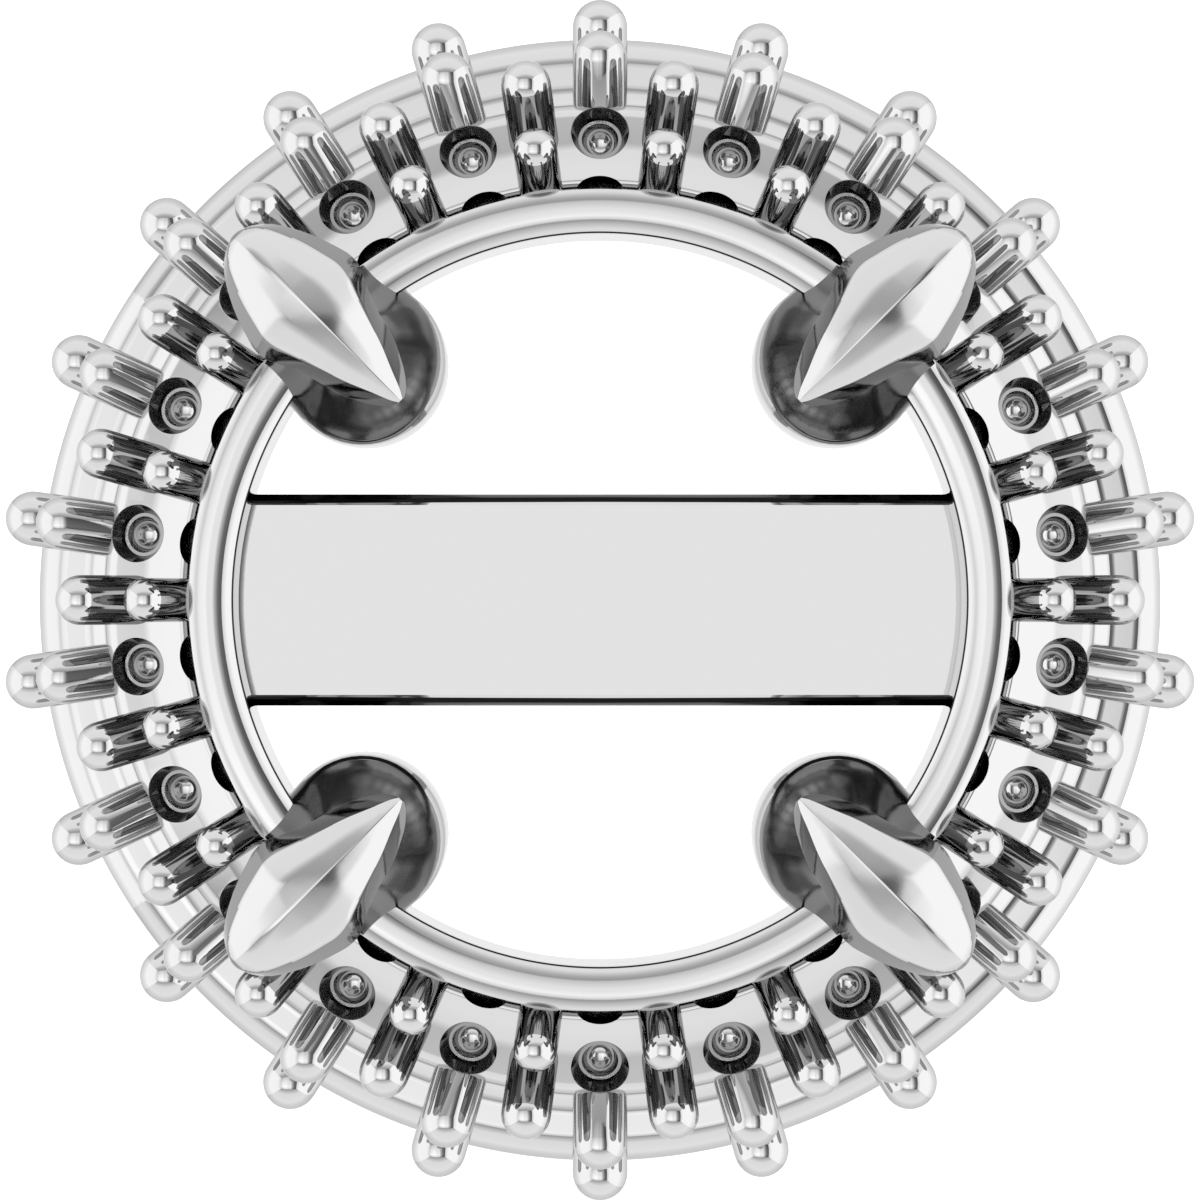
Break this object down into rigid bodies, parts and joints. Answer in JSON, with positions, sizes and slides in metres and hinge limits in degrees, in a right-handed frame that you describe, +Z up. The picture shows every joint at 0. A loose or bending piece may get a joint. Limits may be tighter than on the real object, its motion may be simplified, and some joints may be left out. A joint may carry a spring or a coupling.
{
  "type": "earring setting",
  "caption": "Unset round halo stud setting: claw head with a bridge bar, coved halo with small prongs and seats, base flange and a plain ear post.",
  "frame": {"origin": "centre of the setting's bounding box, on the surface that it rests on", "axes": "+Z up as the unworn stud lies, -Y towards the side that the face leans to, X level across the face; the post points to +Y and down"},
  "size_m": [0.011, 0.0136, 0.0101],
  "materials": {
    "polished_white_gold": "cast white gold, mirror polished and rhodium plated"
  },
  "bodies": {
    "root": {"halo_frame": "polished_white_gold", "claw_head": "polished_white_gold", "ear_post": "polished_white_gold"}
  },
  "joints": []
}
